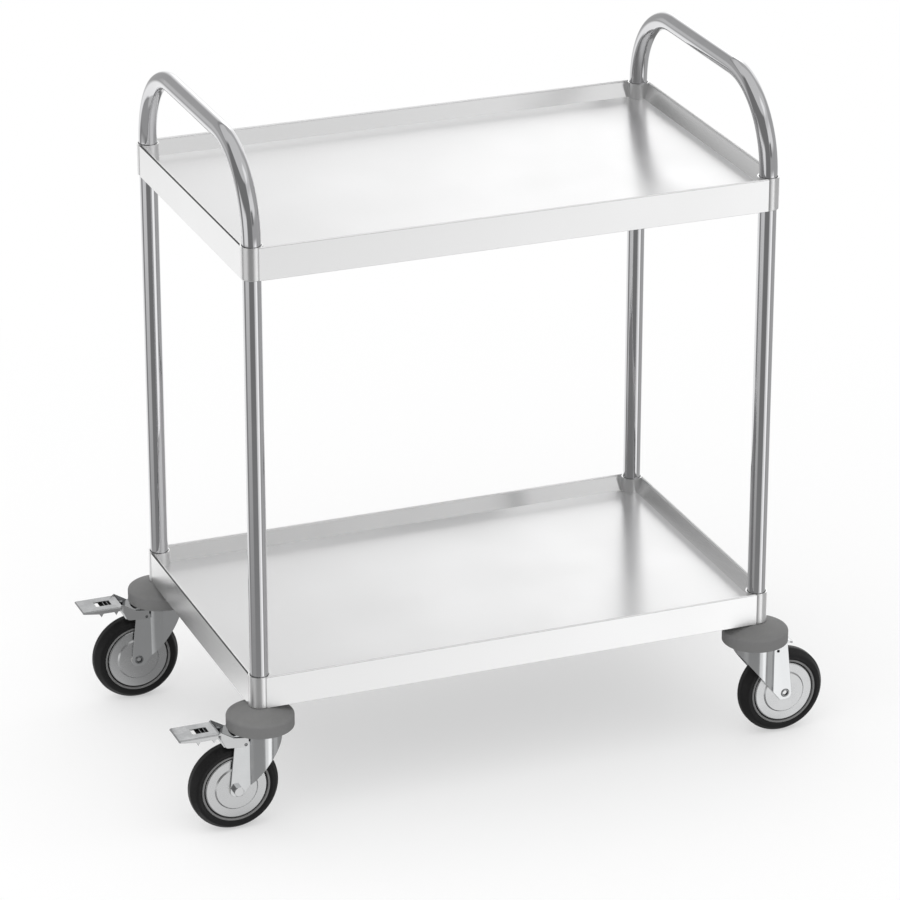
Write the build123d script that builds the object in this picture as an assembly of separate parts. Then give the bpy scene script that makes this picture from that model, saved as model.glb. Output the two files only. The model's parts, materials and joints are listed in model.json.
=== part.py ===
from build123d import *
from math import atan2, cos, degrees, radians, sin, sqrt, tan
import os

# Serving trolley: two shelves between two bent tube end frames, on four swivel castors.
# X runs along the trolley, -Y is its front, Z = 0 is the floor, sizes in millimetres.

# End frames
leg_spacing_x = 726.0
leg_spacing_y = 430.0
tube_diameter = 25.0
tube_wall = 1.5
handle_bend_radius = 115.0
handle_rise = 130.6

# Shelves: one sheet, its rim folded over hollow, its outer wall carried down as a skirt
sheet = 0.8
rim_height = 45.5
deck_drop = 22.0
shelf_spacing = 605.7
rim_inset = 1.0
rim_width = 3.6
rim_flat = 0.1

# Stiffening channels under the decks
channel_sheet = 1.2
channel_width = 40.0
channel_depth = 14.0
channel_foot = 12.0
channel_spacing = 220.0
channel_end_gap = 50.0

# Corner sleeves and the screws that clamp them to the legs
sleeve_diameter = 30.0
sleeve_clearance = 0.1
sleeve_mouth_gap = 0.7
sleeve_mouth_depth = 6.0
sleeve_edge_radius = 1.8
clamp_screw_diameter = 6.0
clamp_screw_length = 9.0
clamp_screw_drop = 11.0
clamp_socket = 3.0
clamp_socket_depth = 4.0

# Bumper discs
bumper_diameter = 92.0
bumper_side_height = 17.0
bumper_shoulder_radius = 4.5
bumper_lip = 1.0
bumper_lip_radius = 0.6
bumper_wall = 5.0
bumper_mouth_depth = 6.0
bumper_overlap = 3.3
bumper_web = 9.7
leg_seat = 5.0

# Leg plugs and king bolts
plug_length = 40.0
king_bolt_diameter = 10.0
king_bolt_grip = 34.0
king_head_width = 17.0
king_head_height = 6.4
king_head_clearance = 0.3
king_running_clearance = 0.06

# Swivel caps and ball rings
cap_diameter = 68.0
cap_sheet = 3.0
cap_edge_radius = 2.5
cap_skirt_gap = 2.5
ball_space = 8.0
ball_clearance = 0.05
ball_pitch_diameter = 46.0

# Forks
fork_sheet = 2.5
fork_barrel_diameter = 58.0
fork_edge_radius = 4.0
fork_side_clearance = 0.5
fork_crown_clearance = 22.5
fork_slope = 51.3
fork_nose = 12.0
fork_toe = 10.0
fork_toe_radius = 4.0
fork_heel = 10.0
fork_heel_radius = 8.0
fork_lean = 6.1
tongue_slope = 23.3
tongue_reach = 53.0
tongue_corner_radius = 9.0
tongue_clearance = 0.9
relief_width = 1.6
relief_depth = 16.0

# Wheels
wheel_diameter = 125.0
castor_trail = 40.0
tyre_width = 33.0
tyre_bead_width = 27.0
tyre_depth = 14.6
tyre_side_depth = 6.5
tyre_tread_width = 10.0
tyre_shoulder_radius = 6.0
rim_lip_depth = 3.0
rim_lip_width = 29.0
rim_lip_radius = 1.2
disc_groove = 1.5
disc_sheet = 1.2
disc_boss_width = 32.0
disc_boss_diameter = 57.0
disc_step = 2.0
disc_step_run = 2.0
disc_edge_depth = 5.0
disc_edge_radius = 2.0
hub_diameter = 34.0
web_width = 8.0

# Axles
axle_diameter = 12.0
axle_running_clearance = 0.05
axle_end = 1.0
axle_end_chamfer = 0.7
axle_bolt_diameter = 8.0
axle_bolt_recess = 2.2
axle_bolt_chamfer = 1.0
axle_head_width = 13.0
axle_head_height = 7.5
axle_head_face = 0.94
axle_head_slope = 30.0
bush_wall = 5.0

# Brakes on the left castors
pivot_diameter = 4.0
pivot_running_clearance = 0.06
pivot_reach = 27.6
pivot_drop = 18.8
pivot_recess = 0.6
lever_sheet = 2.0
lever_clearance = 0.3
lever_bend_radius = 1.5
arm_above_pivot = 9.5
arm_below_pivot = 4.2
arm_end = 4.0
arm_heel_rise = 2.9
arm_heel_run = 7.0
arm_heel_radius = 6.0
arm_knee_inset = 1.5
arm_knee_clearance = 3.0
arm_neck = 8.0
ear_height = 2.3
ear_foot = 3.0
pedal_gap = 16.5
pedal_rise = 2.5
pedal_length = 58.5
pedal_corner_radius = 3.0
flange_gap = 3.2
flange_depth = 6.3
flange_tip_depth = 3.0
tooth_depth = 11.4
tooth_width = 6.0
heel_tooth_at = 9.5
grip_tooth_at = 31.3
window_at = 12.5
window_length = 22.0
window_width = 15.0
window_tab = 5.0
brake_angle = 11.0
shoe_clearance = 0.4
shoe_thickness = 3.0
shoe_from = 6.0
shoe_length = 11.0

# Heights, stacked up from the floor
tube_radius = tube_diameter / 2
sleeve_radius = sleeve_diameter / 2
wheel_radius = wheel_diameter / 2
axle_z = wheel_radius
crown_top = wheel_diameter + fork_crown_clearance
cap_underside = crown_top + ball_space
cap_top = cap_underside + cap_sheet
leg_end = cap_top + bumper_web
lower_rim_bottom = leg_end + leg_seat
lower_rim_top = lower_rim_bottom + rim_height
upper_rim_top = lower_rim_top + shelf_spacing
handle_top = upper_rim_top + handle_rise

# Castor sizes that follow from the wheel and the bumper
king_radius = king_bolt_diameter / 2
fork_inner = disc_boss_width / 2 + fork_side_clearance
fork_outer = fork_inner + fork_sheet
barrel_radius = fork_barrel_diameter / 2
bumper_radius = bumper_diameter / 2
bumper_bottom = crown_top - bumper_overlap
mouth_radius = bumper_radius - bumper_lip
lever_inner = fork_outer + lever_clearance
lever_outer = lever_inner + lever_sheet
pivot_z = crown_top - pivot_drop
pedal_root = bumper_radius + pedal_gap
pedal_tip = pedal_root + pedal_length
pedal_top = crown_top + pedal_rise

# The floor point midway along the whole trolley is the origin: brake pedals reach
# out to the left, bare wheels to the right
centre_shift = (pedal_tip - castor_trail - wheel_radius) / 2
half_turn = 180
corners = {
    "front_left": (-1, -1),
    "front_right": (1, -1),
    "rear_left": (-1, 1),
    "rear_right": (1, 1),
}
braked = ("front_left", "rear_left")
bolts_turned_round = ("rear_left",)
on_base = (Align.CENTER, Align.CENTER, Align.MIN)


# Face with straight sides through corners given as (x, y) or, rounded, (x, y, radius)
def outline(*corners_given):
    points = [corner[:2] for corner in corners_given]
    radii = [corner[2] if len(corner) > 2 else 0 for corner in corners_given]
    return make_face(FilletPolyline(*points, radius=radii, close=True))


# Upright plate of a face drawn as (x, z), between two places along Y
def side_plate(face, y_low, y_high):
    return Pos(0, y_high, 0) * extrude(Plane.XZ * face, y_high - y_low)


# Plates of one face on both sides of the XZ plane
def side_pair(face, inner, outer):
    return side_plate(face, inner, outer) + side_plate(face, -outer, -inner)


# Solid of revolution about Z of a face drawn as (radius, z)
def turned(face):
    return revolve(Plane.XZ * face, Axis.Z)


# The same, for a face of one half of a wheel that is alike on both sides
def turned_wheel(face):
    both_halves = face + mirror(face, about=Plane.XZ)
    return on_axle(turned(both_halves))


# Piece built along Z about the origin, laid on the castor's axle
def on_axle(piece):
    return Pos(castor_trail, 0, axle_z) * Rot(X=-90) * piece


def rod(radius, z_low, z_high):
    return Pos(0, 0, z_low) * Cylinder(radius, z_high - z_low, align=on_base)


# Rod across the castor at a place in its side view
def cross_rod(radius, x, z, half_length):
    return Pos(x, 0, z) * Rot(X=90) * Cylinder(radius, 2 * half_length)


def hexagon_head(width, height):
    return extrude(RegularPolygon(width / 2, 6, major_radius=False), height)


def leg_place(corner):
    x_side, y_side = corners[corner]
    return Pos(centre_shift + x_side * leg_spacing_x / 2, y_side * leg_spacing_y / 2, 0)


# Castor pieces are built trailing towards +X about their own swivel axis
def castor_place(corner):
    trails_left = corners[corner][0] < 0
    return leg_place(corner) * Rot(Z=half_turn if trails_left else 0)


def on_every_leg(piece):
    return Compound([leg_place(corner) * piece for corner in corners])


def end_frame(x_side):
    front = -leg_spacing_y / 2
    back = leg_spacing_y / 2
    handle_z = handle_top - tube_radius
    route = FilletPolyline(
        (0, front, leg_end),
        (0, front, handle_z),
        (0, back, handle_z),
        (0, back, leg_end),
        radius=handle_bend_radius,
    )
    ring = Circle(tube_radius) - Circle(tube_radius - tube_wall)
    tube = sweep(Plane(origin=route @ 0, z_dir=route % 0) * ring, path=route)
    return Pos(centre_shift + x_side * leg_spacing_x / 2, 0, 0) * tube


def box_between(length, width, z_low, z_high):
    return Pos(0, 0, z_low) * Box(length, width, z_high - z_low, align=on_base)


def long_edges(edges):
    return [edge for edge in edges if edge.length > leg_spacing_y / 2]


def shelf(rim_top):
    overhang = sleeve_radius - rim_inset
    length = leg_spacing_x + 2 * overhang
    width = leg_spacing_y + 2 * overhang
    walls = 2 * sheet
    rims = 2 * rim_width
    deck_top = rim_top - deck_drop
    rim_bottom = rim_top - rim_height
    tray = box_between(length, width, rim_bottom, rim_top)
    tray -= box_between(length - rims, width - rims, deck_top, rim_top)
    tray -= box_between(length - walls, width - walls, rim_bottom, deck_top - sheet)
    # The fold is hollow and open below: inner wall, round top, outer wall
    hollow = box_between(length - walls, width - walls, deck_top - sheet, rim_top - sheet)
    hollow -= box_between(length - rims + walls, width - rims + walls, deck_top - sheet, rim_top - sheet)
    hollow_top = hollow.edges().group_by(Axis.Z)[-1]
    hollow = fillet(hollow_top, (rim_width - rim_flat) / 2 - sheet)
    tray = Pos(centre_shift, 0, 0) * (tray - hollow)
    # The rims stop at the corner sleeves, which close the corners
    for corner, (x_side, y_side) in corners.items():
        beyond_leg = Pos(x_side * overhang / 2, y_side * overhang / 2, rim_bottom)
        tray -= leg_place(corner) * beyond_leg * Box(overhang, overhang, rim_height, align=on_base)
        tray -= leg_place(corner) * rod(sleeve_radius, rim_bottom, rim_top)
    tray = fillet(long_edges(tray.edges().group_by(Axis.Z)[-1]), (rim_width - rim_flat) / 2)
    return fillet(long_edges(tray.edges().group_by(Axis.Z)[0]), (sheet - rim_flat) / 2)


# Hat section channels with their feet on the underside of the deck
def stiffeners(rim_top):
    wall_outer = channel_width / 2
    wall_inner = wall_outer - channel_sheet
    foot_end = wall_outer + channel_foot
    half_section = outline(
        (0, -channel_depth),
        (wall_outer, -channel_depth),
        (wall_outer, -channel_sheet),
        (foot_end, -channel_sheet),
        (foot_end, 0),
        (wall_inner, 0),
        (wall_inner, channel_sheet - channel_depth),
        (0, channel_sheet - channel_depth),
    )
    section = half_section + mirror(half_section, about=Plane.YZ)
    length = leg_spacing_x - 2 * channel_end_gap
    channel = Pos(centre_shift - length / 2, 0, 0) * extrude(Plane.YZ * section, length)
    deck_underside = rim_top - deck_drop - sheet
    places = (-channel_spacing / 2, channel_spacing / 2)
    return Compound([Pos(0, y, deck_underside) * channel for y in places])


# Axis of a clamp screw: from the leg towards the middle of the shelf, below its deck
def clamp_axis(corner, rim_top):
    x_side, y_side = corners[corner]
    inwards = degrees(atan2(-y_side, -x_side))
    height = rim_top - deck_drop - sheet - clamp_screw_drop
    return leg_place(corner) * Pos(0, 0, height) * Rot(Z=inwards) * Rot(Y=90)


def corner_sleeves(rim_top):
    rim_bottom = rim_top - rim_height
    sleeve = rod(sleeve_radius, rim_bottom, rim_top)
    sleeve = fillet(sleeve.edges().sort_by(Axis.Z)[0], sleeve_edge_radius)
    sleeve -= rod(tube_radius + sleeve_clearance, rim_bottom, rim_top)
    sleeve -= rod(tube_radius + sleeve_mouth_gap, rim_top - sleeve_mouth_depth, rim_top)
    screw_hole = rod(clamp_screw_diameter / 2, 0, sleeve_diameter)
    bored = [
        leg_place(corner) * sleeve - clamp_axis(corner, rim_top) * screw_hole
        for corner in corners
    ]
    return Compound(bored)


def clamp_screws(rim_top):
    outer_end = tube_radius + clamp_screw_length
    screw = rod(clamp_screw_diameter / 2, tube_radius, outer_end)
    socket = hexagon_head(clamp_socket, clamp_socket_depth)
    screw -= Pos(0, 0, outer_end - clamp_socket_depth) * socket
    return Compound([clamp_axis(corner, rim_top) * screw for corner in corners])


# Hollow rubber disc: sleeve and leg stand on its top, the swivel head turns inside it
def bumper():
    side_top = bumper_bottom + bumper_side_height
    cavity_radius = bumper_radius - bumper_wall
    return turned(
        outline(
            (king_radius, cap_top),
            (king_radius, leg_end),
            (tube_radius, leg_end),
            (tube_radius, lower_rim_bottom),
            (sleeve_radius, lower_rim_bottom),
            (bumper_radius, side_top, bumper_shoulder_radius),
            (bumper_radius, bumper_bottom, bumper_lip_radius),
            (mouth_radius, bumper_bottom),
            (cavity_radius, bumper_bottom + bumper_mouth_depth),
            (cavity_radius, cap_top),
        )
    )


def leg_plug():
    plug = rod(tube_radius - tube_wall, leg_end, leg_end + plug_length)
    return plug - rod(king_radius, leg_end, leg_end + plug_length)


def king_bolt():
    head_top = crown_top - fork_sheet - king_head_clearance
    head = Pos(0, 0, head_top - king_head_height) * hexagon_head(king_head_width, king_head_height)
    return head + rod(king_radius, head_top, leg_end + king_bolt_grip)


# Upper race of the swivel, clamped under the bumper's web by the king bolt
def swivel_cap():
    cap_radius = cap_diameter / 2
    skirt_bottom = crown_top + cap_skirt_gap
    return turned(
        outline(
            (king_radius, cap_top),
            (cap_radius, cap_top, cap_edge_radius),
            (cap_radius, skirt_bottom),
            (cap_radius - cap_sheet, skirt_bottom),
            (cap_radius - cap_sheet, cap_underside),
            (king_radius, cap_underside),
        )
    )


def ball_ring():
    section_radius = ball_space / 2 - ball_clearance
    return Pos(0, 0, crown_top + ball_space / 2) * Torus(ball_pitch_diameter / 2, section_radius)


# Place where the tongue, under the bumper's lip, starts to slope down from the crown
def tongue_bend():
    under_lip = sqrt(mouth_radius**2 - fork_outer**2)
    drop = crown_top - bumper_bottom + tongue_clearance
    return under_lip - drop / tan(radians(tongue_slope))


# Side view of barrel and cheeks: slanting lower edge in front, leaning edge behind
def fork_side_view():
    slope = tan(radians(fork_slope))
    edge_x = castor_trail - fork_nose * sin(radians(fork_slope))
    edge_z = axle_z - fork_nose * cos(radians(fork_slope))
    bottom = axle_z - fork_toe
    lean = tan(radians(fork_lean))
    heel_x = castor_trail + fork_heel / cos(radians(fork_lean))
    fall = tan(radians(tongue_slope))
    bend = tongue_bend()
    top_x = (heel_x - lean * (crown_top - axle_z + fall * bend)) / (1 - lean * fall)
    return outline(
        (edge_x - (crown_top - edge_z) / slope, crown_top),
        (bend, crown_top),
        (top_x, crown_top - fall * (top_x - bend)),
        (heel_x + lean * fork_toe, bottom, fork_heel_radius),
        (edge_x + (edge_z - bottom) / slope, bottom, fork_toe_radius),
    )


def fork_tongue():
    bend = tongue_bend()
    fall = tan(radians(tongue_slope))
    end_z = crown_top - fall * (tongue_reach - bend)
    strip = outline(
        (0, crown_top),
        (bend, crown_top),
        (tongue_reach, end_z),
        (tongue_reach, end_z - fork_sheet / cos(radians(tongue_slope))),
        (bend - fork_sheet * tan(radians(tongue_slope / 2)), crown_top - fork_sheet),
        (0, crown_top - fork_sheet),
    )
    plan = outline(
        (0, -fork_outer),
        (tongue_reach, -fork_outer, tongue_corner_radius),
        (tongue_reach, fork_outer, tongue_corner_radius),
        (0, fork_outer),
    )
    return side_plate(strip, -fork_outer, fork_outer) & extrude(plan, crown_top)


# One pressing: a barrel round the swivel axis that runs out into two flat cheeks,
# closed by the crown and by the tongue that slopes down behind it
def fork():
    barrel_inner = barrel_radius - fork_sheet
    side_view = fork_side_view()
    barrel = turned(
        outline(
            (0, crown_top),
            (barrel_radius, crown_top, fork_edge_radius),
            (barrel_radius, 0),
            (barrel_inner, 0),
            (barrel_inner, crown_top - fork_sheet, fork_edge_radius - fork_sheet),
            (0, crown_top - fork_sheet),
        )
    )
    wheel_way = Box(
        fork_barrel_diameter,
        2 * fork_inner,
        crown_top - fork_sheet,
        align=(Align.MIN, Align.CENTER, Align.MIN),
    )
    barrel -= wheel_way
    barrel &= side_plate(side_view, -barrel_radius, barrel_radius)
    cheeks = side_pair(side_view, fork_inner, fork_outer)
    cheek_start = sqrt(barrel_inner**2 - fork_inner**2)
    cheeks -= Pos(X=cheek_start) * Box(
        2 * fork_barrel_diameter,
        2 * fork_barrel_diameter,
        2 * crown_top,
        align=(Align.MAX, Align.CENTER, Align.CENTER),
    )
    pressing = barrel + cheeks + fork_tongue()
    bend_x = sqrt(barrel_radius**2 - fork_outer**2)
    relief = Pos(bend_x, 0, crown_top - relief_depth) * Box(
        relief_width, fork_barrel_diameter, relief_depth - fork_sheet, align=on_base
    )
    pressing -= relief
    pressing -= rod(king_radius + king_running_clearance, 0, crown_top)
    pressing -= cross_rod(axle_diameter / 2, castor_trail, axle_z, barrel_radius)
    return pressing - cross_rod(pivot_diameter / 2, pivot_reach, pivot_z, barrel_radius)


# The axle stands out of one cheek; the bolt's head bears on the other
def axle_sleeve():
    end = -fork_outer - axle_end
    return on_axle(
        turned(
            outline(
                (axle_bolt_diameter / 2, end),
                (axle_diameter / 2 - axle_end_chamfer, end),
                (axle_diameter / 2, end + axle_end_chamfer),
                (axle_diameter / 2, fork_outer),
                (axle_bolt_diameter / 2, fork_outer),
            )
        )
    )


def axle_bolt():
    shank_radius = axle_bolt_diameter / 2
    shank_end = axle_bolt_recess - axle_end - fork_outer
    shank = turned(
        outline(
            (0, shank_end),
            (shank_radius - axle_bolt_chamfer, shank_end),
            (shank_radius, shank_end + axle_bolt_chamfer),
            (shank_radius, fork_outer),
            (0, fork_outer),
        )
    )
    return on_axle(shank + Pos(0, 0, fork_outer) * axle_head())


# Hexagon whose corners are turned off at its outer face
def axle_head():
    face_radius = axle_head_face * axle_head_width / 2
    corner_radius = axle_head_width / sqrt(3)
    slope = tan(radians(axle_head_slope))
    cone_foot = axle_head_height - slope * (corner_radius - face_radius)
    turning = turned(
        outline(
            (0, 0),
            (corner_radius, 0),
            (corner_radius, cone_foot),
            (face_radius, axle_head_height),
            (0, axle_head_height),
        )
    )
    return hexagon_head(axle_head_width, axle_head_height) & turning


bush_radius = axle_diameter / 2 + bush_wall
tyre_seat = wheel_radius - tyre_depth
rim_lip_inner = tyre_seat - rim_lip_depth
disc_radius = rim_lip_inner - disc_groove
disc_boss = disc_boss_width / 2
disc_back = disc_boss - disc_sheet


def tyre():
    return turned_wheel(
        outline(
            (tyre_seat, 0),
            (tyre_seat, tyre_bead_width / 2),
            (tyre_seat + tyre_side_depth, tyre_width / 2, tyre_shoulder_radius),
            (wheel_radius, tyre_tread_width / 2, tyre_shoulder_radius),
            (wheel_radius, 0),
        )
    )


def wheel_core():
    return turned_wheel(
        outline(
            (bush_radius, 0),
            (bush_radius, disc_back),
            (hub_diameter / 2, disc_back),
            (hub_diameter / 2, web_width / 2),
            (rim_lip_inner, web_width / 2),
            (rim_lip_inner, rim_lip_width / 2, rim_lip_radius),
            (tyre_seat, rim_lip_width / 2, rim_lip_radius),
            (tyre_seat, 0),
        )
    )


# Pressed cover discs on both sides, raised to a boss in the middle
def wheel_discs():
    boss_radius = disc_boss_diameter / 2
    flat_radius = boss_radius + disc_step_run
    flat = disc_boss - disc_step
    disc = turned(
        outline(
            (bush_radius, disc_boss),
            (boss_radius, disc_boss),
            (flat_radius, flat),
            (disc_radius, flat, disc_edge_radius),
            (disc_radius, flat - disc_edge_depth),
            (disc_radius - disc_sheet, flat - disc_edge_depth),
            (disc_radius - disc_sheet, flat - disc_sheet, disc_edge_radius - disc_sheet),
            (flat_radius - disc_sheet / 2, flat - disc_sheet),
            (boss_radius - disc_sheet / 2, disc_back),
            (bush_radius, disc_back),
        )
    )
    return Compound([on_axle(disc), on_axle(mirror(disc, about=Plane.XY))])


def wheel_bush():
    bore = axle_diameter / 2 + axle_running_clearance
    return on_axle(rod(bush_radius, -disc_boss, disc_boss) - rod(bore, -disc_boss, disc_boss))


# One pressing: pedal plate with toothed side flanges and two arms that straddle the fork
def brake_lever():
    pedal_underside = pedal_top - lever_sheet
    knee_x = bumper_radius - arm_knee_inset
    knee_z = bumper_bottom - arm_knee_clearance
    arm_bottom = pivot_z - arm_below_pivot
    arm = outline(
        (pedal_root + ear_foot, pedal_top),
        (pedal_root, pedal_top + ear_height),
        (knee_x, knee_z),
        (pivot_reach - arm_end, pivot_z + arm_above_pivot),
        (pivot_reach - arm_end, arm_bottom),
        (pedal_root - arm_heel_run, arm_bottom + arm_heel_rise, arm_heel_radius),
        (pedal_root, pedal_top - arm_neck),
        (pedal_root, pedal_underside),
        (pedal_root + ear_foot, pedal_underside),
    )
    flange_low = pedal_top - flange_depth
    tooth_low = pedal_top - tooth_depth
    heel_tooth = pedal_root + heel_tooth_at
    grip_tooth = pedal_root + grip_tooth_at
    flange = outline(
        (pedal_root + flange_gap, pedal_top),
        (pedal_root + flange_gap, flange_low),
        (heel_tooth - tooth_width / 2, flange_low),
        (heel_tooth, tooth_low),
        (heel_tooth + tooth_width / 2, flange_low),
        (grip_tooth - tooth_width / 2, flange_low),
        (grip_tooth, tooth_low),
        (grip_tooth + tooth_width / 2, flange_low),
        (pedal_tip, pedal_top - flange_tip_depth),
        (pedal_tip, pedal_top),
    )
    plan = outline(
        (pedal_root, -lever_outer),
        (pedal_tip, -lever_outer, pedal_corner_radius),
        (pedal_tip, lever_outer, pedal_corner_radius),
        (pedal_root, lever_outer),
    )
    flanges = side_pair(flange, lever_inner, lever_outer) & extrude(plan, pedal_top)
    plate = Pos(0, 0, pedal_underside) * extrude(plan, lever_sheet)
    pressing = plate + flanges
    top_edges = pressing.edges().group_by(Axis.Z)[-1]
    bends = [edge for edge in top_edges if edge.center().X > pedal_root + lever_sheet]
    pressing = fillet(bends, lever_bend_radius)
    pressing += side_pair(arm, lever_inner, lever_outer)
    window_middle = pedal_root + window_at + window_length / 2
    window_end = window_middle + window_length / 2
    pressing -= Pos(window_middle, 0, pedal_underside) * Box(
        window_length, window_width, lever_sheet, align=on_base
    )
    pressing += Pos(window_end, 0, pedal_underside) * Box(
        lever_sheet, window_width, window_tab, align=(Align.MIN, Align.CENTER, Align.MAX)
    )
    pivot_bore = pivot_diameter / 2 + pivot_running_clearance
    return pressing - cross_rod(pivot_bore, pivot_reach, pivot_z, lever_outer)


# Curved block between the arms, shaped to the tyre with the lever pressed down
def brake_shoe():
    inner = wheel_radius + shoe_clearance
    arc = cross_rod(inner + shoe_thickness, castor_trail, axle_z, lever_inner)
    arc -= cross_rod(inner, castor_trail, axle_z, lever_inner)
    arc &= Pos(castor_trail + shoe_from, 0, axle_z) * Box(
        shoe_length, 2 * lever_inner, wheel_diameter, align=(Align.MIN, Align.CENTER, Align.MIN)
    )
    pivot = Pos(pivot_reach, 0, pivot_z)
    return pivot * Rot(Y=-brake_angle) * pivot.inverse() * arc


def brake_pin():
    return cross_rod(pivot_diameter / 2, pivot_reach, pivot_z, lever_outer - pivot_recess)


nodes = {
    "left_end_frame": end_frame(-1),
    "right_end_frame": end_frame(1),
    "leg_plugs": on_every_leg(leg_plug()),
    "king_bolts": on_every_leg(king_bolt()),
}
for level, rim_top in (("upper", upper_rim_top), ("lower", lower_rim_top)):
    nodes[f"{level}_shelf"] = shelf(rim_top)
    nodes[f"{level}_stiffeners"] = stiffeners(rim_top)
    nodes[f"{level}_corner_sleeves"] = corner_sleeves(rim_top)
    nodes[f"{level}_clamp_screws"] = clamp_screws(rim_top)

castor_pieces = {
    "bumper": bumper(),
    "swivel_cap": swivel_cap(),
    "ball_ring": ball_ring(),
    "fork": fork(),
    "tyre": tyre(),
    "wheel_core": wheel_core(),
    "wheel_discs": wheel_discs(),
    "wheel_bush": wheel_bush(),
}
brake_pieces = {
    "brake_lever": brake_lever(),
    "brake_shoe": brake_shoe(),
    "brake_pin": brake_pin(),
}
axle_pieces = {
    "axle_sleeve": axle_sleeve(),
    "axle_bolt": axle_bolt(),
}
for corner in corners:
    place = castor_place(corner)
    for name, piece in castor_pieces.items():
        nodes[f"{name}_{corner}"] = place * piece
    for name, piece in axle_pieces.items():
        other_way = corner in bolts_turned_round
        nodes[f"{name}_{corner}"] = place * (mirror(piece, about=Plane.XZ) if other_way else piece)
for corner in braked:
    for name, piece in brake_pieces.items():
        nodes[f"{name}_{corner}"] = castor_place(corner) * piece

os.makedirs("parts", exist_ok=True)
for name, shape in nodes.items():
    export_step(shape, f"parts/{name}.step")
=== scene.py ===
import json
import math

import bmesh
import bpy
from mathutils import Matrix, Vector
from mathutils.bvhtree import BVHTree


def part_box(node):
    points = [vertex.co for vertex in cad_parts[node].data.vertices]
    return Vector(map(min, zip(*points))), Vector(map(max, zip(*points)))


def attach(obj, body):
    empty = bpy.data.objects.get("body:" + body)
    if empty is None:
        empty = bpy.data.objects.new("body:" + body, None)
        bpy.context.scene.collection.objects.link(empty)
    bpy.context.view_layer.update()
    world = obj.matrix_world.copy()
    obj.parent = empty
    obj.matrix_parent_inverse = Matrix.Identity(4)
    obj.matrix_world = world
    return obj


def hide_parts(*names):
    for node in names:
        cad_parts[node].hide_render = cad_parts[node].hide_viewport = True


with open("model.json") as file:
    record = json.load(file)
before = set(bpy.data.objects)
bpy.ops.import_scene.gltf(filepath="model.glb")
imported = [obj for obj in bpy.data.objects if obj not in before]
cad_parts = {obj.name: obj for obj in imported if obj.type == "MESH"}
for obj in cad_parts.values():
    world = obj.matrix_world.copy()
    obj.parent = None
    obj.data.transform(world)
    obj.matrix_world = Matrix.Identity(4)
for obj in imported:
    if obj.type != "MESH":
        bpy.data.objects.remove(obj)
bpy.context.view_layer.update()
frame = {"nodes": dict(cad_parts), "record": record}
nodes = frame["nodes"]
cornerNames = ("front_left", "front_right", "rear_left", "rear_right")
brakedCorners = ("front_left", "rear_left")
print("frame loaded:", len(nodes), "nodes")


# node helpers

mixSockets = {"RGBA": (6, 7, 2), "FLOAT": (2, 3, 0)}  # both inputs and the output of a mix node
rising = (0.0, 1.0)
falling = (1.0, 0.0)


def feed(tree, socket, value):
    if isinstance(value, bpy.types.NodeSocket):
        tree.links.new(value, socket)
    elif socket.type == "RGBA":
        socket.default_value = (*value, 1)
    else:
        socket.default_value = value


def feedAll(tree, node, values):
    for label, value in values.items():
        feed(tree, node.inputs[label], value)


def addNode(tree, kind, **values):
    node = tree.nodes.new(kind)
    for name, value in values.items():
        if name in node.inputs:
            node.inputs[name].default_value = value
        else:
            setattr(node, name, value)
    return node


def mathNode(tree, operation, *values, clamp=False):
    node = addNode(tree, "ShaderNodeMath", operation=operation, use_clamp=clamp)
    for socket, value in zip(node.inputs, values):
        feed(tree, socket, value)
    return node.outputs[0]


def mixNode(tree, kind, factor, first, second):
    node = addNode(tree, "ShaderNodeMix", data_type=kind)
    firstIn, secondIn, out = mixSockets[kind]
    tree.links.new(factor, node.inputs[0])
    feed(tree, node.inputs[firstIn], first)
    feed(tree, node.inputs[secondIn], second)
    return node.outputs[out]


def remap(tree, value, span, outSpan, course="LINEAR"):
    node = addNode(tree, "ShaderNodeMapRange", interpolation_type=course)
    tree.links.new(value, node.inputs["Value"])
    for label, number in zip(("From Min", "From Max", "To Min", "To Max"), (*span, *outSpan)):
        node.inputs[label].default_value = number
    return node.outputs["Result"]


def fadeOut(tree, value, start, end):
    return remap(tree, value, (start, end), falling, course="SMOOTHSTEP")


def separate(tree, vector):
    node = tree.nodes.new("ShaderNodeSeparateXYZ")
    tree.links.new(vector, node.inputs[0])
    return node.outputs


def surfacePlace(tree):
    return tree.nodes.new("ShaderNodeTexCoord").outputs["Object"]


def surfaceNormal(tree):
    return tree.nodes.new("ShaderNodeNewGeometry").outputs["Normal"]


def noiseNode(tree, place, **values):
    node = addNode(tree, "ShaderNodeTexNoise", **values)
    tree.links.new(place, node.inputs["Vector"])
    return node


def mixShaders(tree, factor, first, second):
    node = tree.nodes.new("ShaderNodeMixShader")
    for socket, source in zip(node.inputs, (factor, first, second)):
        tree.links.new(source, socket)
    return node.outputs[0]


def newMaterial(name):
    material = bpy.data.materials.new(name)
    material.use_nodes = True
    tree = material.node_tree
    return material, tree, tree.nodes["Principled BSDF"]


def addBump(tree, shader, height, strength, distance):
    bump = addNode(tree, "ShaderNodeBump", Strength=strength, Distance=distance)
    tree.links.new(height, bump.inputs["Height"])
    tree.links.new(bump.outputs[0], shader.inputs["Normal"])


# shared effects

def makeGroup(name, inputs, outputs):
    group = bpy.data.node_groups.new(name, "ShaderNodeTree")
    for label, value in inputs.items():
        socket = group.interface.new_socket(label, in_out="INPUT", socket_type="NodeSocketFloat")
        socket.default_value = value
    for label in outputs:
        group.interface.new_socket(label, in_out="OUTPUT", socket_type="NodeSocketFloat")
    entry = group.nodes.new("NodeGroupInput")
    leave = group.nodes.new("NodeGroupOutput")
    return group, entry, leave


def placeGroup(tree, group, values):
    node = tree.nodes.new("ShaderNodeGroup")
    node.node_tree = group
    for label, value in values.items():
        node.inputs[label].default_value = value
    return node.outputs


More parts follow.
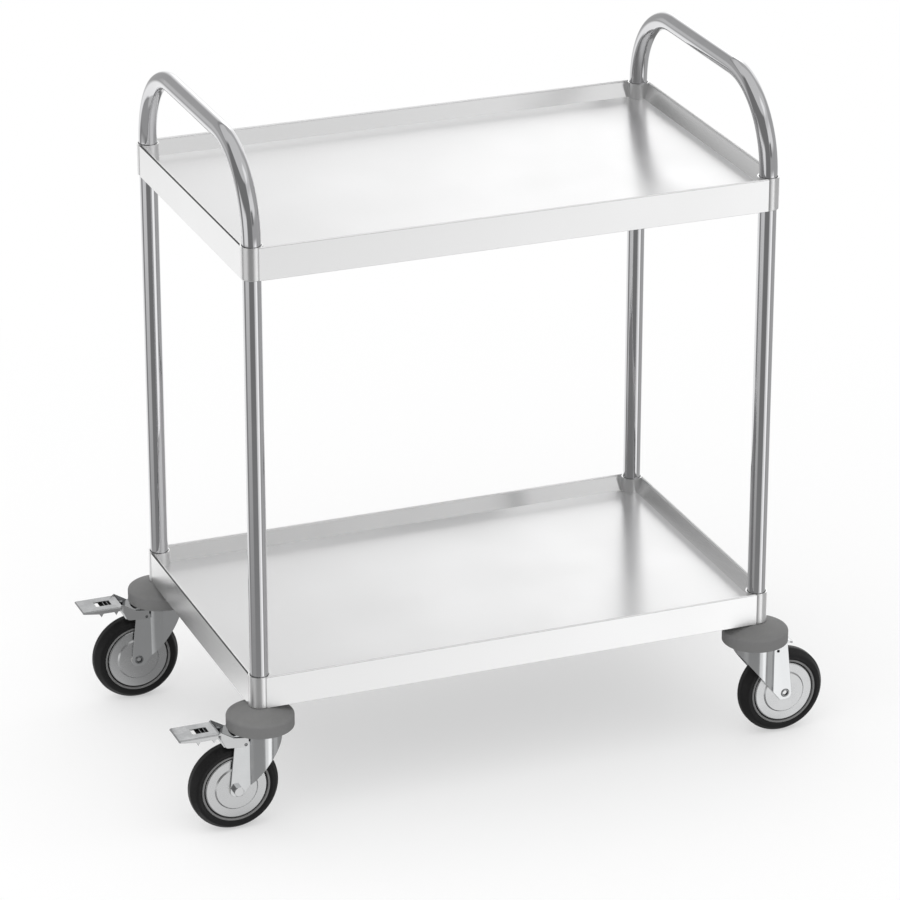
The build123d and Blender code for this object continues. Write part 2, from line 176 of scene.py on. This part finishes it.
grainLook = {
    "streak": {"Scale": 1.0, "Detail": 3.0, "Roughness": 0.6},
    "cloud": {"Scale": 7.0, "Detail": 4.0, "Roughness": 0.55},
}


def buildBrushedGrain():
    group, entry, leave = makeGroup(
        "brushedGrain", {"Along": 8.0, "Across": 900.0}, ("Streak", "Cloud"))
    place = surfacePlace(group)
    parts = separate(group, place)
    stretched = group.nodes.new("ShaderNodeCombineXYZ")
    for axis, label in enumerate(("Along", "Across", "Across")):
        scaled = mathNode(group, "MULTIPLY", parts[axis], entry.outputs[label])
        group.links.new(scaled, stretched.inputs[axis])
    streak = noiseNode(group, stretched.outputs[0], **grainLook["streak"])
    cloud = noiseNode(group, place, **grainLook["cloud"])
    group.links.new(streak.outputs[0], leave.inputs["Streak"])
    group.links.new(cloud.outputs[0], leave.inputs["Cloud"])
    return group


marksLook = {"detail": 5.0, "fineDetail": 2.0, "roughness": 0.6}


def buildHandling():
    group, entry, leave = makeGroup(
        "handlingMarks", {"Scale": 30.0, "Fine Scale": 400.0}, ("Marks", "Fine"))
    place = surfacePlace(group)
    for label, scale, detail in (("Marks", "Scale", "detail"), ("Fine", "Fine Scale", "fineDetail")):
        noise = noiseNode(group, place, Detail=marksLook[detail], Roughness=marksLook["roughness"])
        group.links.new(entry.outputs[scale], noise.inputs["Scale"])
        group.links.new(noise.outputs[0], leave.inputs[label])
    return group


# dust begins and is full where a face looks up this far
dustLook = {"upFrom": (0.2, 1.0), "detail": 5.0, "roughness": 0.65}


def buildSettledDust():
    group, entry, leave = makeGroup("settledDust", {"Scale": 60.0, "Amount": 0.5}, ("Dust",))
    noise = noiseNode(
        group, surfacePlace(group), Detail=dustLook["detail"], Roughness=dustLook["roughness"])
    group.links.new(entry.outputs["Scale"], noise.inputs["Scale"])
    upward = remap(group, separate(group, surfaceNormal(group))[2], dustLook["upFrom"], rising)
    patchy = mathNode(group, "MULTIPLY", upward, noise.outputs[0])
    dust = mathNode(group, "MULTIPLY", patchy, entry.outputs["Amount"], clamp=True)
    group.links.new(dust, leave.inputs["Dust"])
    return group


# how far a face looks up, out or aside where each part of the painted dark line begins and ends: painted
# shade and painted reflection along the rounded fold on top of the end rims and along the bottom hems
foldShadeLook = {
    "offWall": (0.05, 0.35),
    "offDeck": (0.985, 0.999),
    "atEnds": (-0.3, 0.05),
    "offSides": (0.05, 0.15),
    "hem": (-0.3, -0.05),
    "offUnderside": (-0.99, -0.96),
}


# mask of the rim folds and bottom hems, which are darkened in the colour: painted shade and painted
# reflection, not a colour of the steel
def buildPaintedFoldShade():
    group, entry, leave = makeGroup("paintedFoldShade", {"Amount": 1.0}, ("FoldShade",))
    facing = separate(group, surfaceNormal(group))
    place = separate(group, surfacePlace(group))
    outward = mathNode(group, "MULTIPLY", facing[0], mathNode(group, "SIGN", place[0]))
    aside = mathNode(group, "ABSOLUTE", facing[1])
    fold = remap(group, facing[2], foldShadeLook["offWall"], rising)
    for value, label, outSpan in (
            (facing[2], "offDeck", falling), (outward, "atEnds", rising), (aside, "offSides", falling)):
        fold = mathNode(group, "MULTIPLY", fold, remap(group, value, foldShadeLook[label], outSpan))
    hem = remap(group, facing[2], foldShadeLook["hem"], falling)
    offUnderside = remap(group, facing[2], foldShadeLook["offUnderside"], rising)
    foldShade = mathNode(group, "MAXIMUM", fold, mathNode(group, "MULTIPLY", hem, offUnderside))
    shown = mathNode(group, "MULTIPLY", foldShade, entry.outputs["Amount"])
    group.links.new(shown, leave.inputs["FoldShade"])
    return group


brushedGrain = buildBrushedGrain()
paintedFoldShade = buildPaintedFoldShade()
handlingMarks = buildHandling()
settledDust = buildSettledDust()
print("shared effects built")


# materials

noiseSpan = (0.3, 0.7)  # where most of a noise lies
tubeLook = {
    "bright": (0.70, 0.70, 0.71),
    "dull": (0.63, 0.63, 0.645),
    "rough": (0.03, 0.07),
    "marks": {"Scale": 22.0},
}


def polishedTube():
    material, tree, shader = newMaterial("polishedTube")
    marks = placeGroup(tree, handlingMarks, tubeLook["marks"])["Marks"]
    feedAll(tree, shader, {
        "Metallic": 1.0,
        "Base Color": mixNode(tree, "RGBA", marks, tubeLook["dull"], tubeLook["bright"]),
        "Roughness": remap(tree, marks, noiseSpan, tubeLook["rough"]),
    })
    return material


satinLook = {
    "grain": {"Along": 14.0, "Across": 2600.0},
    "streakShare": 0.35,
    "toneSpan": (0.45, 0.9),
    # near-black of the painted shade and painted reflection on the rim folds and hems
    "foldShadeColour": (0.05, 0.05, 0.05),
    "deckFrom": (0.8, 0.98),  # how far a face looks up where a rim turns into a deck
    "patchyRough": (-0.02, 0.02),
    "grainDepth": 0.00005,
    "brushedAlong": (1.0, 0.0, 0.05),
}


def satinSheet(name, bright, dull, rimRough, deckRough, grain, brushing=0.0, foldShade=0.0):
    material, tree, shader = newMaterial(name)
    brushed = placeGroup(tree, brushedGrain, satinLook["grain"])
    streaks = mathNode(tree, "MULTIPLY", brushed["Streak"], satinLook["streakShare"])
    tone = mathNode(tree, "ADD", streaks, brushed["Cloud"])
    plain = mixNode(tree, "RGBA", remap(tree, tone, satinLook["toneSpan"], rising), dull, bright)
    # rim folds and bottom hems are mixed towards near-black: painted shade and painted reflection
    foldShadeMask = placeGroup(tree, paintedFoldShade, {"Amount": foldShade})["FoldShade"]
    normal = surfaceNormal(tree)
    upward = separate(tree, normal)[2]
    scrubbed = remap(tree, upward, satinLook["deckFrom"], (rimRough, deckRough))  # decks are duller
    patchy = remap(tree, brushed["Cloud"], noiseSpan, satinLook["patchyRough"])
    feedAll(tree, shader, {
        "Metallic": 1.0,
        "Base Color": mixNode(tree, "RGBA", foldShadeMask, plain, satinLook["foldShadeColour"]),
        "Roughness": mathNode(tree, "ADD", scrubbed, patchy),
    })
    addBump(tree, shader, brushed["Streak"], grain, satinLook["grainDepth"])
    if brushing:
        shader.inputs["Anisotropic"].default_value = brushing
        spread = addNode(tree, "ShaderNodeVectorMath", operation="CROSS_PRODUCT")
        spread.inputs[1].default_value = satinLook["brushedAlong"]
        tree.links.new(normal, spread.inputs[0])
        tree.links.new(spread.outputs[0], shader.inputs["Tangent"])
    return material


zincLook = {"marks": {"Scale": 60.0}, "upwardTone": {"Scale": 35.0, "Amount": 1.6}}


def zincPlate(name, bright, dull, rough, upwardTone=None):
    material, tree, shader = newMaterial(name)
    marks = placeGroup(tree, handlingMarks, zincLook["marks"])["Marks"]
    tone = mixNode(tree, "RGBA", marks, dull, bright)
    # upward faces are mixed in noise patches towards a darker tone; the dust mask serves here only to find
    # where faces look up
    if upwardTone:
        upwardPatches = placeGroup(tree, settledDust, zincLook["upwardTone"])["Dust"]
        tone = mixNode(tree, "RGBA", upwardPatches, tone, upwardTone)
    feedAll(tree, shader, {
        "Metallic": 1.0,
        "Base Color": tone,
        "Roughness": remap(tree, marks, noiseSpan, rough),
    })
    return material


rubberLook = {
    "marks": {"Scale": 60.0, "Fine Scale": 1500.0},
    "dustScale": 70.0,
    "speckle": (-0.35, 0.35),
    "roughSpread": 0.06,
    "bump": 0.3,
    "bumpDepth": 0.0001,
}


def rubber(name, body, dusty, roughness, dustAmount, specular):
    material, tree, shader = newMaterial(name)
    dust = placeGroup(tree, settledDust, {"Scale": rubberLook["dustScale"], "Amount": dustAmount})["Dust"]
    marks = placeGroup(tree, handlingMarks, rubberLook["marks"])
    speckle = remap(tree, marks["Fine"], noiseSpan, rubberLook["speckle"])
    spread = rubberLook["roughSpread"]
    rough = (roughness - spread, roughness + spread)
    feedAll(tree, shader, {
        "Specular IOR Level": specular,
        "Base Color": mixNode(tree, "RGBA", mathNode(tree, "ADD", dust, speckle), body, dusty),
        "Roughness": remap(tree, marks["Marks"], noiseSpan, rough),
    })
    addBump(tree, shader, marks["Fine"], rubberLook["bump"], rubberLook["bumpDepth"])
    return material


plasticLook = {"marks": {"Scale": 80.0, "Fine Scale": 1200.0}, "roughSpread": 0.05}


def mouldedPlastic(name, body, pale, roughness):
    material, tree, shader = newMaterial(name)
    marks = placeGroup(tree, handlingMarks, plasticLook["marks"])
    spread = plasticLook["roughSpread"]
    rough = (roughness - spread, roughness + spread)
    feedAll(tree, shader, {
        "Base Color": mixNode(tree, "RGBA", marks["Marks"], body, pale),
        "Roughness": remap(tree, marks["Fine"], noiseSpan, rough),
    })
    return material


slotLooks = {
    "polished_tube": polishedTube(),
    "satin_steel": satinSheet(
        "satinSheet", bright=(0.93, 0.93, 0.93), dull=(0.9, 0.9, 0.902),
        rimRough=0.22, deckRough=0.295, grain=0.02, brushing=0.86, foldShade=0.9),
    "bumper_rubber": rubber(
        "bumperRubber", body=(0.165, 0.165, 0.165), dusty=(0.23, 0.23, 0.225),
        roughness=0.62, dustAmount=0.7, specular=0.4),
    "zinc_steel": zincPlate(
        "zincPlate", bright=(0.71, 0.72, 0.725), dull=(0.66, 0.67, 0.68), rough=(0.1, 0.17)),
    "tyre_rubber": rubber(
        "tyreRubber", body=(0.006, 0.006, 0.0065), dusty=(0.03, 0.029, 0.028),
        roughness=0.5, dustAmount=0.5, specular=0.3),
    "wheel_plastic": mouldedPlastic(
        "wheelPlastic", body=(0.16, 0.16, 0.16), pale=(0.2, 0.2, 0.2), roughness=0.5),
    "hidden_steel": satinSheet(
        "hiddenSteel", bright=(0.5, 0.5, 0.51), dull=(0.4, 0.4, 0.41),
        rimRough=0.35, deckRough=0.5, grain=0.03),
    "bush_plastic": mouldedPlastic(
        "bushPlastic", body=(0.55, 0.55, 0.53), pale=(0.62, 0.62, 0.6), roughness=0.45),
}
# pieces whose finish differs from that of their slot
ownLooks = {
    "corner_sleeves": satinSheet(
        "sleeveSatin", bright=(0.88, 0.88, 0.88), dull=(0.84, 0.84, 0.842),
        rimRough=0.3, deckRough=0.3, grain=0.02),
    "wheel_discs": zincPlate(
        "zincDisc", bright=(0.64, 0.645, 0.65), dull=(0.57, 0.575, 0.58), rough=(0.22, 0.3)),
    "brake_lever": zincPlate(
        "leverZinc", bright=(0.66, 0.665, 0.67), dull=(0.61, 0.615, 0.62), rough=(0.08, 0.14),
        upwardTone=(0.34, 0.345, 0.35)),
    "axle_bolt": zincPlate(
        "boltZinc", bright=(0.7, 0.705, 0.71), dull=(0.62, 0.625, 0.63), rough=(0.06, 0.12)),
    "axle_sleeve": zincPlate(
        "sleeveZinc", bright=(0.34, 0.345, 0.35), dull=(0.26, 0.265, 0.27), rough=(0.14, 0.22)),
    "brake_pin": zincPlate(
        "pinSteel", bright=(0.26, 0.265, 0.27), dull=(0.18, 0.185, 0.19), rough=(0.2, 0.3)),
}
slotOfNode = {part["node"]: part["material_slot"] for part in frame["record"]["subparts"]}


def lookOf(nodeName):
    own = [look for part, look in ownLooks.items() if part in nodeName]
    return own[0] if own else slotLooks[slotOfNode[nodeName]]


for name, node in nodes.items():
    node.data.materials.clear()
    node.data.materials.append(lookOf(name))
print("materials placed")


# adding pieces

weldWithin = 1e-6


def addObject(name, data):
    thing = bpy.data.objects.new(name, data)
    bpy.context.scene.collection.objects.link(thing)
    return thing


def addPiece(name, form, look, body):
    mesh = bpy.data.meshes.new(name)
    form.to_mesh(mesh)
    form.free()
    mesh.materials.append(look)
    piece = addObject(name, mesh)
    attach(piece, body)
    return piece


# pressed edges: forks and levers are shown with their edges rounded

pressedEdges = {
    "radius": 0.0005, "steps": 2, "profile": 0.5,
    "sharperThan": 40.0, "flatWithin": 0.4, "smoothWithin": 50.0,  # degrees
    "strayShare": 0.5,  # of the radius
}


def roundPressing(nodeName, body):
    form = bmesh.new()
    form.from_mesh(nodes[nodeName].data)
    bmesh.ops.remove_doubles(form, verts=form.verts, dist=weldWithin)
    flat = math.radians(pressedEdges["flatWithin"])
    bmesh.ops.dissolve_limit(form, angle_limit=flat, verts=form.verts, edges=form.edges)
    surface = BVHTree.FromBMesh(form)
    limit = math.radians(pressedEdges["sharperThan"])
    sharp = [edge for edge in form.edges if edge.is_convex and edge.calc_face_angle(0.0) > limit]
    bmesh.ops.bevel(
        form, geom=sharp, offset=pressedEdges["radius"], offset_type="OFFSET",
        segments=pressedEdges["steps"], profile=pressedEdges["profile"],
        affect="EDGES", clamp_overlap=False)
    stray = pressedEdges["radius"] * pressedEdges["strayShare"]
    for vert in form.verts:  # a corner that the rounding threw off goes back to the sheet
        place, _, _, away = surface.find_nearest(vert.co)
        if away > stray:
            vert.co = place
    piece = addPiece(nodeName + "_rounded", form, lookOf(nodeName), body)
    piece.data.shade_smooth()
    piece.data.set_sharp_from_angle(angle=math.radians(pressedEdges["smoothWithin"]))
    weigh = piece.modifiers.new("flatFaces", "WEIGHTED_NORMAL")
    weigh.keep_sharp = True
    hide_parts(nodeName)


for corner in cornerNames:
    roundPressing("fork_" + corner, "swivel_" + corner)
for corner in brakedCorners:
    roundPressing("brake_lever_" + corner, "brake_" + corner)
print("pressed edges rounded")


# sloped inner walls of both trays, from the fold of the rim down to the deck

traySlope = {
    "foldWidth": 0.0036, "foldDrop": 0.0017, "foot": 0.0115, "deckDrop": 0.022, "bite": 0.0003,
    "legInset": 0.014, "endRadius": 0.014, "steps": 6,
}


def addSlope(form, low, high, alongX, towardHigh):
    across = 1 if alongX else 0
    deck = high[2] - traySlope["deckDrop"] - traySlope["bite"]
    fold = high[2] - traySlope["foldDrop"]
    start = traySlope["foldWidth"] - traySlope["bite"]
    rows = []
    for step in range(traySlope["steps"] + 1):
        share = step / traySlope["steps"]
        inset = start + share * (traySlope["foot"] - start)
        fromLeg = math.sqrt(traySlope["endRadius"] ** 2 - (inset - traySlope["legInset"]) ** 2)
        short = traySlope["legInset"] + fromLeg  # the wall stops inside the corner sleeve
        side = high[across] - inset if towardHigh else low[across] + inset
        row = []
        for end in (low[1 - across] + short, high[1 - across] - short):
            for height in (fold + share * (deck - fold), deck):
                row.append(form.verts.new((end, side, height) if alongX else (side, end, height)))
        rows.append(row)
    for first, second in zip(rows, rows[1:]):
        for a, b in ((0, 2), (3, 1), (1, 0), (2, 3)):  # slope, underside and both ends
            form.faces.new((first[a], first[b], second[b], second[a]))
    form.faces.new([rows[0][index] for index in (1, 3, 2, 0)])


def addTraySlopes(level, body):
    low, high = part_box(level + "_shelf")
    form = bmesh.new()
    for alongX in (True, False):
        for towardHigh in (True, False):
            addSlope(form, low, high, alongX, towardHigh)
    bmesh.ops.remove_doubles(form, verts=form.verts, dist=weldWithin)
    bmesh.ops.recalc_face_normals(form, faces=form.faces)
    shelf = level + "_shelf"
    addPiece(level + "_tray_slopes", form, lookOf(shelf), body)


for level in ("upper", "lower"):
    addTraySlopes(level, "frame")
print("tray slopes fitted")


# dark insert with two dark steel ribs, held between the flanges under the window of each pedal; the insert
# is near black as painted shade inside the window

pedalInsert = {
    "near": 0.0322, "far": 0.048, "halfWidth": 0.0194, "top": 0.1455, "bottom": 0.1442,
    "ribs": (0.0360, 0.0415), "ribWidth": 0.0013, "ribTop": 0.1493, "ribHalfWidth": 0.0068,
    "ribSink": 0.0004, "softness": 0.0003, "softSteps": 2, "softProfile": 0.5,
}
# near black: painted shade inside the pedal window
paintedShadeInsert = mouldedPlastic(
    "paintedShadeInsert", body=(0.012, 0.012, 0.012), pale=(0.02, 0.02, 0.02), roughness=0.55)


def addBlock(form, low, high):
    made = bmesh.ops.create_cube(form, size=1.0)
    for vert in made["verts"]:
        vert.co = Vector([(a + b) / 2 + part * (b - a) for a, b, part in zip(low, high, vert.co)])
    edges = list({edge for vert in made["verts"] for edge in vert.link_edges})
    bmesh.ops.bevel(
        form, geom=edges, offset=pedalInsert["softness"], segments=pedalInsert["softSteps"],
        profile=pedalInsert["softProfile"], affect="EDGES")


def addPedalInsert(corner):
    low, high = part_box("brake_lever_" + corner)
    tip, middle = low[0], (low[1] + high[1]) / 2
    plate, ribs = bmesh.new(), bmesh.new()
    addBlock(
        plate,
        (tip + pedalInsert["near"], middle - pedalInsert["halfWidth"], pedalInsert["bottom"]),
        (tip + pedalInsert["far"], middle + pedalInsert["halfWidth"], pedalInsert["top"]))
    ribLow = (middle - pedalInsert["ribHalfWidth"], pedalInsert["top"] - pedalInsert["ribSink"])
    ribHigh = (middle + pedalInsert["ribHalfWidth"], pedalInsert["ribTop"])
    for place in pedalInsert["ribs"]:
        addBlock(ribs, (tip + place, *ribLow), (tip + place + pedalInsert["ribWidth"], *ribHigh))
    addPiece("pedal_insert_" + corner, plate, paintedShadeInsert, "brake_" + corner)
    ribSteel = ownLooks["brake_pin"]
    addPiece("pedal_insert_ribs_" + corner, ribs, ribSteel, "brake_" + corner)


for corner in brakedCorners:
    addPedalInsert(corner)
print("pedal inserts fitted")


# studio

studio = {
    "white": (1.0, 1.0, 1.0),
    "keyPower": 14.0,
    "keySize": 2.6,
    "keyPlace": (-0.9, -1.2, 2.6),
    "keyTarget": (0.0, 0.0, 0.4),
    "floorSize": (24.0, 24.0),
    "floorColour": (0.95, 0.95, 0.95),
    "floorRough": 0.9,
    "floorWhite": (0.4, 1.0),  # share of plain white that the camera sees in the floor, near and far
    "floorFade": (0.3, 1.7),  # metres from the middle, near and far
}
# the room that the metal mirrors: degrees round the trolley (0 rear, 90 right, 180 front)
# and above the floor; a later patch covers an earlier one
roomGlow = {"base": 0.22, "ambient": 1.0, "backdrop": 1.0}
roomPatches = {
    "lowLeft": {"round": (-190, -50), "up": (-95, -26), "glow": 0.4, "soft": (12, 10)},
    "leftWindow": {"round": (-123, -73), "up": (-22, 7), "glow": 0.95, "soft": (14, 12)},
    "rearWall": {"round": (-57, 8), "up": (-30, 32), "glow": 0.45, "soft": (14, 5)},
    "rearLow": {"round": (-46, 8), "up": (-70, -16), "glow": 1.09, "soft": (12, 12)},
    "rearLeftWall": {"round": (-52, -22), "up": (-8, 10), "glow": 0.66, "soft": (10, 8)},
    "rightRoom": {"round": (52, 128), "up": (-80, 38), "glow": 0.48, "soft": (14, 10)},
    "frontBand": {"round": (112, 182), "up": (-20, 20), "glow": 0.46, "soft": (12, 10)},
    "frontUpper": {"round": (124, 180), "up": (9, 60), "glow": 0.92, "soft": (12, 12)},
    "frontShade": {"round": (158, 180), "up": (3, 19), "glow": 0.22, "soft": (6, 5)},
    "frontLow": {"round": (136, 174), "up": (-62, -14), "glow": 0.88, "soft": (8, 6)},
    "frontLowBright": {"round": (137, 157), "up": (-62, -15), "glow": 1.25, "soft": (8, 6)},
    "rearRight": {"round": (9, 60), "up": (-30, 30), "glow": 1.04, "soft": (16, 6)},
    "rearRightLow": {"round": (27, 60), "up": (-28, -4), "glow": 1.14, "soft": (10, 8)},
    "rearEdge": {"round": (11, 28), "up": (-34, -16), "glow": 0.8, "soft": (8, 8)},
    "rearWindow": {"round": (20, 36), "up": (3, 30), "glow": 1.75, "soft": (9, 6)},
    "overRear": {"round": (-50, 18), "up": (35, 62), "glow": 0.7, "soft": (12, 8)},
    "overRearRight": {"round": (18, 88), "up": (30, 62), "glow": 0.54, "soft": (12, 4)},
    "overRight": {"round": (84, 184), "up": (36, 62), "glow": 0.72, "soft": (12, 10)},
    "overhead": {"up": (52, 130), "glow": 0.72, "soft": (0, 6)},
    "overFront": {"round": (122, 166), "up": (50, 70), "glow": 1.1, "soft": (12, 8)},
}


def patchMask(tree, angle, span, soft):
    middle = math.radians((span[0] + span[1]) / 2)
    half = math.radians((span[1] - span[0]) / 2)
    edge = math.radians(soft / 2)
    offset = mathNode(tree, "SUBTRACT", angle, middle)
    away = mathNode(tree, "ABSOLUTE", mathNode(tree, "WRAP", offset, math.pi, -math.pi))
    return fadeOut(tree, away, half - edge, half + edge)


def mirroredRoom(tree):
    direction = separate(tree, tree.nodes.new("ShaderNodeTexCoord").outputs["Generated"])
    around = mathNode(tree, "ARCTAN2", direction[0], direction[1])
    upward = mathNode(tree, "ARCSINE", direction[2])
    level = roomGlow["base"]
    for look in roomPatches.values():
        mask = patchMask(tree, upward, look["up"], look["soft"][1])
        if "round" in look:
            beside = patchMask(tree, around, look["round"], look["soft"][0])
            mask = mathNode(tree, "MULTIPLY", mask, beside)
        level = mixNode(tree, "FLOAT", mask, level, look["glow"])
    return level


def buildWorld():
    world = bpy.data.worlds.new("studioWorld")
    bpy.context.scene.world = world
    world.use_nodes = True
    tree = world.node_tree
    path = tree.nodes.new("ShaderNodeLightPath").outputs
    backdrop = tree.nodes["Background"]
    ambient = tree.nodes.new("ShaderNodeBackground")
    mirrored = tree.nodes.new("ShaderNodeBackground")
    for light, strength in (
            (backdrop, roomGlow["backdrop"]),
            (ambient, roomGlow["ambient"]),
            (mirrored, mirroredRoom(tree))):
        feedAll(tree, light, {"Color": studio["white"], "Strength": strength})
    forGloss = mixShaders(tree, path["Is Glossy Ray"], ambient.outputs[0], mirrored.outputs[0])
    forCamera = mixShaders(tree, path["Is Camera Ray"], forGloss, backdrop.outputs[0])
    tree.links.new(forCamera, tree.nodes["World Output"].inputs["Surface"])


# floor in the trolley's own shade, as the low metal mirrors it
floorShades = {
    "underShade": {"middle": (0.01, 0.02, 0.001), "size": (0.95, 0.66), "glow": 0.3, "soft": (0.12, 0.16)},
    "sideShade": {"middle": (-0.62, 0.36, 0.0015), "size": (0.5, 0.62), "glow": 0.62, "soft": (0.3, 0.3)},
}
flatRing = ((-1, -1), (1, -1), (1, 1), (-1, 1))


def addFlat(name, middle, size):
    mesh = bpy.data.meshes.new(name)
    corners = [
        (middle[0] + x * size[0] / 2, middle[1] + y * size[1] / 2, middle[2]) for x, y in flatRing]
    mesh.from_pydata(corners, [], [(0, 1, 2, 3)])
    layer = mesh.uv_layers.new(name="UVMap")
    for corner, (x, y) in zip(layer.data, flatRing):
        corner.uv = ((x + 1) / 2, (y + 1) / 2)
    return addObject(name, mesh)


def shadeMaterial(name, glow, soft):
    material, tree, shader = newMaterial(name)
    tree.nodes.remove(shader)
    place = separate(tree, tree.nodes.new("ShaderNodeTexCoord").outputs["UV"])
    half = 0.5  # of the sheet
    masks = []
    for axis in (0, 1):
        away = mathNode(tree, "ABSOLUTE", mathNode(tree, "SUBTRACT", place[axis], half))
        masks.append(fadeOut(tree, away, half - soft[axis], half))
    shade = addNode(tree, "ShaderNodeEmission", Strength=glow)
    clear = tree.nodes.new("ShaderNodeBsdfTransparent")
    faded = mixShaders(tree, mathNode(tree, "MULTIPLY", *masks), clear.outputs[0], shade.outputs[0])
    tree.links.new(faded, tree.nodes["Material Output"].inputs["Surface"])
    return material


def addFloorShade(name, look):
    shade = addFlat(name, look["middle"], look["size"])
    shade.data.materials.append(shadeMaterial(name + "Glow", look["glow"], look["soft"]))
    for ray in ("visible_camera", "visible_diffuse", "visible_shadow", "visible_transmission"):
        setattr(shade, ray, False)


def buildFloor():
    floor = addFlat("studioFloor", (0.0, 0.0, 0.0), studio["floorSize"])
    material, tree, shader = newMaterial("paleFloor")
    feedAll(tree, shader, {"Base Color": studio["floorColour"], "Roughness": studio["floorRough"]})
    white = addNode(tree, "ShaderNodeEmission", Strength=1.0)
    path = tree.nodes.new("ShaderNodeLightPath").outputs
    distance = addNode(tree, "ShaderNodeVectorMath", operation="LENGTH")
    tree.links.new(surfacePlace(tree), distance.inputs[0])
    fade = remap(tree, distance.outputs["Value"], studio["floorFade"], studio["floorWhite"])
    share = mathNode(tree, "MULTIPLY", path["Is Camera Ray"], fade)
    seen = mixShaders(tree, share, shader.outputs[0], white.outputs[0])
    tree.links.new(seen, tree.nodes["Material Output"].inputs["Surface"])
    floor.data.materials.append(material)
    floor.visible_glossy = False


def addKeyLight():
    lamp = bpy.data.lights.new("keyLight", "AREA")
    lamp.energy = studio["keyPower"]
    lamp.size = studio["keySize"]
    key = addObject("keyLight", lamp)
    key.location = studio["keyPlace"]
    toward = Vector(studio["keyTarget"]) - key.location
    key.rotation_euler = toward.to_track_quat("-Z", "Y").to_euler()
    key.visible_glossy = False
    key.visible_camera = False


buildWorld()
buildFloor()
addKeyLight()
for name, look in floorShades.items():
    addFloorShade(name, look)
print("studio built")


# camera at the photograph's angle

cameraLook = {
    "azimuth": -21.41,
    "elevation": 22.92,
    "distance": 6.1152,
    "target": (0.00215, 0.0, 0.4012),
    "lens": 177.41,
    "sensor": 36.0,
    "farEnd": 100.0,
}


def addCamera():
    azimuth = math.radians(cameraLook["azimuth"])
    elevation = math.radians(cameraLook["elevation"])
    back = Vector((
        math.sin(azimuth) * math.cos(elevation),
        -math.cos(azimuth) * math.cos(elevation),
        math.sin(elevation),
    ))
    lens = bpy.data.cameras.new("photoCamera")
    lens.sensor_width = cameraLook["sensor"]
    lens.lens = cameraLook["lens"]
    lens.clip_end = cameraLook["farEnd"]
    camera = addObject("photoCamera", lens)
    camera.location = Vector(cameraLook["target"]) + back * cameraLook["distance"]
    camera.rotation_euler = (-back).to_track_quat("-Z", "Y").to_euler()
    bpy.context.scene.camera = camera


addCamera()
bpy.context.scene.view_settings.view_transform = "Standard"
print("scene ready")
